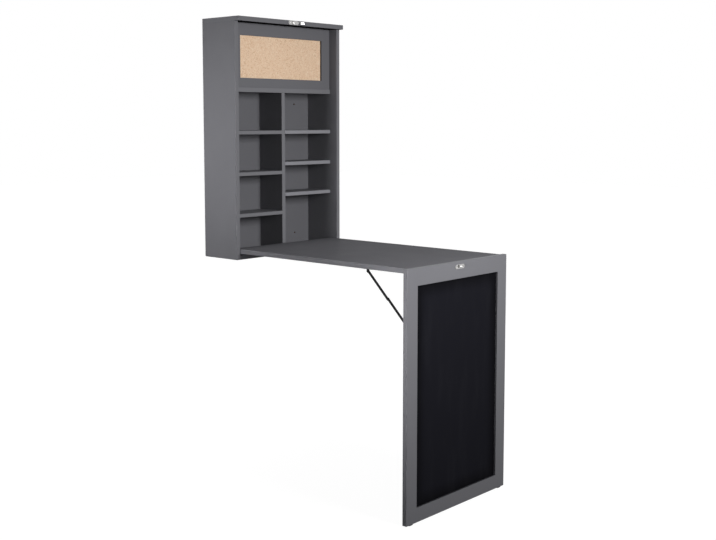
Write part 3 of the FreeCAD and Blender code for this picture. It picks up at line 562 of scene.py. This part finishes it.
def plate_screws(plate):
    """The rings of the two screws of a latch or keeper plate.

    With them come the Y and Z of the middle of the plate's front, in millimetres.
    """
    low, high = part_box(plate)
    face, middle = low.y * 1000, (low.z + high.z) * 500
    seats = [(-PLATE_SCREW_X, face, middle), (PLATE_SCREW_X, face, middle)]
    return screw_rings(seats, [(0, -1, 0)] * 2), face, middle


bright_nickel = nickel("bright_nickel_plate")
latch_rings, latch_face, latch_z = plate_screws("latch_plate")
shells("latch_cross_screws", latch_rings, bright_nickel, "cabinet", ["latch_screws"])


def domed_rivet(seats, ways, head, rise, shank, length, shoulder=0.0, columns=36):
    """A rivet: the head is a quarter ellipse from its middle to its rim, then a shank of plain length.

    A shoulder is a disc as wide as the head at the far end of the shank.
    """
    curve = np.linspace(0, np.pi / 2, 10)
    radius = np.concatenate([head * np.sin(curve), [shank, shank]])
    height = np.concatenate([rise * np.cos(curve), [0, -length + shoulder]])
    if shoulder:
        radius = np.concatenate([radius, [head, head]])
        height = np.concatenate([height, [-length + shoulder, -length]])
    radius = np.concatenate([radius, [shank * 0.8, 0]])
    height = np.concatenate([height, [-length, -length]])
    return turned(seats, ways, radius[:, None] * np.ones(columns), height[:, None] * np.ones(columns))


# The hook turns on the shank between the plate and the head, in millimetres.
LATCH_SHANK = 2.75
latch_rivet = domed_rivet([(0, latch_face - LATCH_SHANK, latch_z)], [(0, -1, 0)],
                          head=4.2, rise=1.6, shank=2.0, length=LATCH_SHANK, shoulder=0.5)
shells("latch_pivot", latch_rivet, bright_nickel, "cabinet", ["latch_rivet"])
dress(bright_nickel, "latch_plate", "latch_hook")


# Desk board
# A 15 mm faced board, banded on three edges. Its rear edge is rounded so that it turns past the
# shelves, and steel pins in its ends run in black nylon bushes in the sides.

desk_low, desk_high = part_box("desk_top")
desk_bands = [("X", desk_low.x + BAND, "LESS_THAN"), ("X", desk_high.x - BAND, "GREATER_THAN"),
              ("Y", desk_low.y + BAND, "LESS_THAN")]
dress(melamine("melamine_board_desk", desk_bands, gloss=0.002), "desk_top")
dress(zinc_plate, "pivot_pins")


def nylon(name):
    """Black moulded nylon: dull, with the fine spark texture of the mould, about 0.8 mm across."""
    material, tree, shader, place = new_material(name)
    spark = add(tree, "ShaderNodeTexNoise", values={"Scale": per_metre(0.8), "Detail": 2.0},
                links={"Vector": place})
    bump = add(tree, "ShaderNodeBump", values={"Strength": 0.2, "Distance": 0.00006},
               links={"Height": spark.outputs["Fac"]})
    tree.links.new(bump.outputs["Normal"], shader.inputs["Normal"])
    tone = add(tree, "ShaderNodeMix", {"data_type": "RGBA"}, {"A": linear("#161618"), "B": linear("#1f1f22")},
               {"Factor": spark.outputs["Fac"]})
    tree.links.new(tone.outputs["Result"], shader.inputs["Base Color"])
    shader.inputs["Roughness"].default_value = 0.5
    shader.inputs["Specular IOR Level"].default_value = 0.3
    return material


black_nylon = nylon("moulded_nylon")
dress(black_nylon, "pivot_bushes")


# Leg panel
# Two stiles and two rails of lacquered fibreboard, joined by stub tenons, round a thin board painted
# with blackboard paint. It stands on two nail-on glides.

dress(lacquer("lacquered_leg_frame", "leg_right_stile", "leg_bottom_rail", "leg_top_rail"),
      "leg_left_stile", "leg_right_stile", "leg_top_rail", "leg_bottom_rail")
dress(black_nylon, "foot_glides")
# How far from the frame the painted shade beside it reaches, in metres.
FRAME_SHADE_WIDTH = 0.05


def blackboard_paint(name):
    """Matt black paint full of fine grit, with faint streaks of chalk left by wiping.

    Its tone is even in the middle and fades to a darker one over the last 50 mm beside the frame, which is painted
    shade from the frame.
    """
    material, tree, shader, place = new_material(name)
    half_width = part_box("leg_right_stile")[0].x
    low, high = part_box("leg_bottom_rail")[1].z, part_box("leg_top_rail")[0].z
    axes = add(tree, "ShaderNodeSeparateXYZ", links={"Vector": place})
    inside = []
    for axis, middle, half in (("X", 0.0, half_width), ("Z", (low + high) / 2, (high - low) / 2)):
        away = add(tree, "ShaderNodeMath", {"operation": "SUBTRACT"}, {1: middle}, {0: axes.outputs[axis]})
        far = add(tree, "ShaderNodeMath", {"operation": "ABSOLUTE"}, None, {0: away.outputs[0]})
        inside.append(add(tree, "ShaderNodeMapRange", {"interpolation_type": "SMOOTHSTEP"},
                          {"From Min": half, "From Max": half - FRAME_SHADE_WIDTH}, {"Value": far.outputs[0]}))
    reach = add(tree, "ShaderNodeMath", {"operation": "MULTIPLY"}, None,
                {0: inside[0].outputs["Result"], 1: inside[1].outputs["Result"]})
    # Painted shade: the paint is darker beside the frame.
    haze_and_shade = add(tree, "ShaderNodeMix", {"data_type": "RGBA"}, {"A": linear("#0c0c0f"), "B": linear("#16161b")},
               {"Factor": reach.outputs[0]})
    # Wiping leaves pale streaks about 35 mm wide and 200 mm long, leaning to the right.
    lean = add(tree, "ShaderNodeMapping",
               values={"Rotation": (0.0, 0.6, 0.0), "Scale": (per_metre(35), 1.0, per_metre(200))},
               links={"Vector": place})
    streak = add(tree, "ShaderNodeTexNoise", values={"Scale": 1.0, "Detail": 5.0, "Roughness": 0.6},
                 links={"Vector": lean.outputs["Vector"]})
    chalk = add(tree, "ShaderNodeMapRange", values={"From Min": 0.5, "From Max": 0.85, "To Max": 0.06},
                links={"Value": streak.outputs["Fac"]})
    colour = add(tree, "ShaderNodeMix", {"data_type": "RGBA"}, {"B": linear("#4c4c50")},
                 {"Factor": chalk.outputs["Result"], "A": haze_and_shade.outputs["Result"]})
    tree.links.new(colour.outputs["Result"], shader.inputs["Base Color"])
    # The grit is about 0.2 mm, drawn at 1 mm so that it shows.
    grit = add(tree, "ShaderNodeTexNoise", values={"Scale": per_metre(1), "Detail": 2.0},
               links={"Vector": place})
    bump = add(tree, "ShaderNodeBump", values={"Strength": 0.25, "Distance": 0.00008},
               links={"Height": grit.outputs["Fac"]})
    tree.links.new(bump.outputs["Normal"], shader.inputs["Normal"])
    shader.inputs["Roughness"].default_value = 0.8
    shader.inputs["Specular IOR Level"].default_value = 0.02
    return material


dress(blackboard_paint("blackboard_paint"), "chalkboard")


# Hinges between desk and leg
# Two cranked butt hinges of zinc-plated steel in the inside corner, each leaf held by two
# countersunk screws, with a headed pin through the three knuckles.

dress(zinc_plate, "desk_hinge_leaves", "leg_hinge_leaves", "hinge_pins")
# In millimetres from the middle of the desk: the hinges, a leaf's screws from the middle of the leaf,
# and the stay brackets, whose two screws stand one step apart.
HINGE_X = 150.0
LEAF_SCREW_X = 23.8
DESK_BRACKET_X = 206.7
LEG_BRACKET_X = 221.7
BRACKET_STEP = 21.6
hinge_x = [s * HINGE_X + t * LEAF_SCREW_X for s in (-1, 1) for t in (-1, 1)]
bracket_seats = [(s, step) for s in (-1, 1) for step in (0, BRACKET_STEP)]
desk_screws, leg_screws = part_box("desk_screws"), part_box("leg_screws")
desk_under = desk_screws[0].z * 1000
leg_inner = leg_screws[1].y * 1000
desk_seats = [(x, desk_screws[0].y * 1000 + SCREW_HEAD, desk_under) for x in hinge_x]
desk_seats += [(s * DESK_BRACKET_X, desk_screws[1].y * 1000 - SCREW_HEAD - step, desk_under)
               for s, step in bracket_seats]
leg_seats = [(x, leg_inner, leg_screws[1].z * 1000 - SCREW_HEAD) for x in hinge_x]
leg_seats += [(s * LEG_BRACKET_X, leg_inner, leg_screws[0].z * 1000 + SCREW_HEAD + step)
              for s, step in bracket_seats]
shells("desk_cross_screws", screw_rings(desk_seats, [(0, 0, -1)] * 8), zinc_plate,
       "desk", ["desk_screws"])
shells("leg_cross_screws", screw_rings(leg_seats, [(0, 1, 0)] * 8), zinc_plate,
       "leg", ["leg_screws"])


# Folding stays
# A pair of flat black bars joined at a knee, one between an ear on the desk and an ear on the leg at
# each side. They are powder-coated steel, with riveted joints.

def powder_coat(name):
    """Black powder coat: a soft sheen over a fine pebble texture, about 1 mm across."""
    material, tree, shader, place = new_material(name)
    pebble = add(tree, "ShaderNodeTexNoise", values={"Scale": per_metre(1), "Detail": 1.0},
                 links={"Vector": place})
    bump = add(tree, "ShaderNodeBump", values={"Strength": 0.1, "Distance": 0.00006},
               links={"Height": pebble.outputs["Fac"]})
    tree.links.new(bump.outputs["Normal"], shader.inputs["Normal"])
    tone = add(tree, "ShaderNodeMix", {"data_type": "RGBA"}, {"A": linear("#0b0b0c"), "B": linear("#131315")},
               {"Factor": pebble.outputs["Fac"]})
    tree.links.new(tone.outputs["Result"], shader.inputs["Base Color"])
    shader.inputs["Roughness"].default_value = 0.5
    shader.inputs["Specular IOR Level"].default_value = 0.08
    return material


black_coat = powder_coat("black_powder_coat")
dress(black_coat, "desk_stay_brackets", "leg_stay_brackets", "stay_desk_rivets", "stay_leg_rivets",
      "left_stay_knee_rivet", "right_stay_knee_rivet")
# In millimetres: a bar's width, the radius of its eyes and the radius of its rolled edges.
BAR_WIDTH = 8.0
BAR_EYE = 4.5
BAR_EDGE = 0.45
EYE_RINGS = 18
CORNER_POINTS = 5


def bar_rings(start, end, low_x, high_x):
    """A flat bar's rings along its length, from Y, Z to Y, Z, between two planes of X, in millimetres.

    Half its width follows the circle of each eye, out to where the circle is as narrow as the bar.
    Each ring is a rectangle whose corners are quarter circles, as rolled strip has.
    """
    turn = np.linspace(0, np.pi - np.arcsin(BAR_WIDTH / 2 / BAR_EYE), EYE_RINGS)
    length = np.linalg.norm(end - start)
    along = np.concatenate([-BAR_EYE * np.cos(turn), length + BAR_EYE * np.cos(turn[::-1])])[:, None]
    half = BAR_EYE * np.sin(np.concatenate([turn, turn[::-1]]))[:, None]
    corner = np.minimum(BAR_EDGE, half)
    angle = (np.linspace(0, np.pi / 2, CORNER_POINTS) + np.arange(4)[:, None] * np.pi / 2).ravel()
    sign_across = np.repeat([1, -1, -1, 1], CORNER_POINTS)
    sign_deep = np.repeat([1, 1, -1, -1], CORNER_POINTS)
    across = sign_across * (half - corner) + corner * np.cos(angle)
    deep = sign_deep * ((high_x - low_x) / 2 - BAR_EDGE) + BAR_EDGE * np.sin(angle)
    forward = (end - start) / length
    y = start[0] + along * forward[0] - across * forward[1]
    z = start[1] + along * forward[1] + across * forward[0]
    x = (low_x + high_x) / 2 + deep + 0 * along
    return np.stack([x, y, z], axis=-1)[None] / 1000


pivots = {joint["name"]: np.array(joint["pos_m"][1:]) * 1000 for joint in frame["joints"]}
for side in ("left", "right"):
    at_desk = pivots[f"{side}_stay_upper_fold"]
    at_leg = pivots[f"{side}_stay_lower_fold"]
    knee = (at_desk + at_leg) / 2
    for half_name, pivot in (("upper", at_desk), ("lower", at_leg)):
        stay = f"{side}_stay_{half_name}"
        bar_low, bar_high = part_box(f"{stay}_bar")
        shells(f"{stay}_strap", bar_rings(pivot, knee, bar_low.x * 1000, bar_high.x * 1000), black_coat,
               stay, [f"{stay}_bar"])


# Keeper on the leg
# The same nickel plate as the latch's, with a headed stud in its middle that the hook catches. Two
# countersunk screws hold it to the frame's top rail.

dress(bright_nickel, "keeper_plate")
keeper_rings, _, keeper_z = plate_screws("keeper_plate")
shells("keeper_cross_screws", keeper_rings, bright_nickel, "leg", ["keeper_screws"])
# The rise of the stud's domed head, in millimetres.
STUD_RISE = 2.0
stud_low, stud_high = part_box("keeper_stud")
stud_front = stud_low.y * 1000
stud_rings = domed_rivet([(0, stud_front + STUD_RISE, keeper_z)], [(0, -1, 0)], head=4.5,
                         rise=STUD_RISE, shank=2.5, length=stud_high.y * 1000 - stud_front - STUD_RISE)
shells("keeper_headed_stud", stud_rings, bright_nickel, "leg", ["keeper_stud"])


# Studio
# A plain pale floor under the leg, and soft lamps in front, at both sides and behind. The camera and
# the reflections see a white surround, which lights the rest only a little.

def surround(tree):
    """One where the ray is the camera's, or a reflection or a view through glass."""
    ray = add(tree, "ShaderNodeLightPath")
    seen = add(tree, "ShaderNodeMath", {"operation": "MAXIMUM"}, None,
               {0: ray.outputs["Is Camera Ray"], 1: ray.outputs["Is Glossy Ray"]})
    return add(tree, "ShaderNodeMath", {"operation": "MAXIMUM"}, None,
               {0: seen.outputs[0], 1: ray.outputs["Is Transmission Ray"]}).outputs[0]


world = bpy.data.worlds.new("studio")
bpy.context.scene.world = world
world.use_nodes = True
sky = world.node_tree
sky.nodes.clear()
white = add(sky, "ShaderNodeBackground", values={"Color": (1, 1, 1, 1), "Strength": 1.0})
soft = add(sky, "ShaderNodeBackground", values={"Color": (1, 1, 1, 1), "Strength": 0.1})
both = add(sky, "ShaderNodeMixShader", links={0: surround(sky), 1: soft.outputs[0], 2: white.outputs[0]})
add(sky, "ShaderNodeOutputWorld", links={"Surface": both.outputs[0]})

# Half of the floor's side, in metres.
FLOOR_HALF = 15.0
floor_z = cad_box[0].z
floor_corners = FLOOR_HALF * np.array([[-1, -1], [1, -1], [1, 1], [-1, 1]])
floor_mesh = bpy.data.meshes.new("floor")
floor_mesh.from_pydata(np.column_stack([floor_corners, np.full(4, floor_z)]).tolist(), [], [(0, 1, 2, 3)])
floor = bpy.data.objects.new("floor", floor_mesh)
bpy.context.scene.collection.objects.link(floor)
paint = bpy.data.materials.new("pale_floor")
paint.use_nodes = True
ground = paint.node_tree
ground.nodes.clear()
matt = add(ground, "ShaderNodeBsdfDiffuse", values={"Color": (0.12, 0.12, 0.12, 1)})
# The floor reads as white paper. Its glow is 7 % less within half a metre of a point under the desk,
# so that the shadow still shows there, and is full from 2.2 m away.
spot = add(ground, "ShaderNodeTexCoord").outputs["Object"]
gone = add(ground, "ShaderNodeVectorMath", {"operation": "DISTANCE"}, {1: (0.2, -0.7, floor_z)}, {0: spot})
fade = add(ground, "ShaderNodeMapRange",
           values={"From Min": 0.5, "From Max": 2.2, "To Min": 0.93, "To Max": 1.0},
           links={"Value": gone.outputs["Value"]})
shown = add(ground, "ShaderNodeMath", {"operation": "MULTIPLY"}, None,
            {0: surround(ground), 1: fade.outputs["Result"]})
glow = add(ground, "ShaderNodeEmission", values={"Color": (1, 1, 1, 1)}, links={"Strength": shown.outputs[0]})
total = add(ground, "ShaderNodeAddShader", links={0: matt.outputs[0], 1: glow.outputs[0]})
add(ground, "ShaderNodeOutputMaterial", links={"Surface": total.outputs[0]})
floor_mesh.materials.append(paint)


def lamp(name, place, target, size, spread, power):
    """A square softbox that looks from its place to its target. Its grid narrows the beam to a spread."""
    data = bpy.data.lights.new(name, "AREA")
    data.shape = "SQUARE"
    data.size = size
    data.spread = math.radians(spread)
    data.energy = power
    piece = bpy.data.objects.new(name, data)
    piece.location = place
    piece.rotation_euler = (Vector(target) - Vector(place)).to_track_quat("-Z", "Y").to_euler()
    piece.visible_camera = False
    bpy.context.scene.collection.objects.link(piece)


# Places and sizes are in metres, spreads in degrees and powers in watts.
lamp("front_softbox", (-0.05, -2.1, 0.4), (-0.05, -0.3, -0.05), size=0.6, spread=150.0, power=19.9)
lamp("left_softbox", (-2.3, -0.03, 0.26), (0.0, -0.1, 0.08), size=0.8, spread=38.0, power=3.15)
lamp("low_left_softbox", (-2.2, -1.3, -0.25), (0.0, -1.0, -0.4), size=0.4, spread=34.0, power=2.4)
lamp("fill_softbox", (-2.6, -3.4, 0.25), (0.0, -0.3, 0.0), size=1.2, spread=120.0, power=5.5)
lamp("rear_softbox", (0.0, 2.6, 1.4), (0.0, 0.0, 0.2), size=1.0, spread=120.0, power=34.0)
lamp("right_softbox", (3.2, -0.2, -0.35), (0.0, -0.4, 0.0), size=1.6, spread=90.0, power=25.0)

# The camera stands where the straight edges of the photograph put it. It is level from side to side,
# looks a little down, and turns to the right of straight ahead, in radians. A small vertical shift
# keeps the upright edges nearly parallel.
LOOK_DOWN = 0.0979
TURN_RIGHT = 0.8367
camera_data = bpy.data.cameras.new("camera")
camera_data.sensor_width = 36.0
camera_data.lens = 54.76
camera_data.shift_y = -0.060
camera = bpy.data.objects.new("camera", camera_data)
camera.location = (-2.5928, -2.8069, 0.1737)
camera.rotation_euler = (math.pi / 2 - LOOK_DOWN, 0.0, -TURN_RIGHT)
bpy.context.scene.collection.objects.link(camera)
bpy.context.scene.camera = camera
bpy.context.scene.view_settings.view_transform = "Standard"
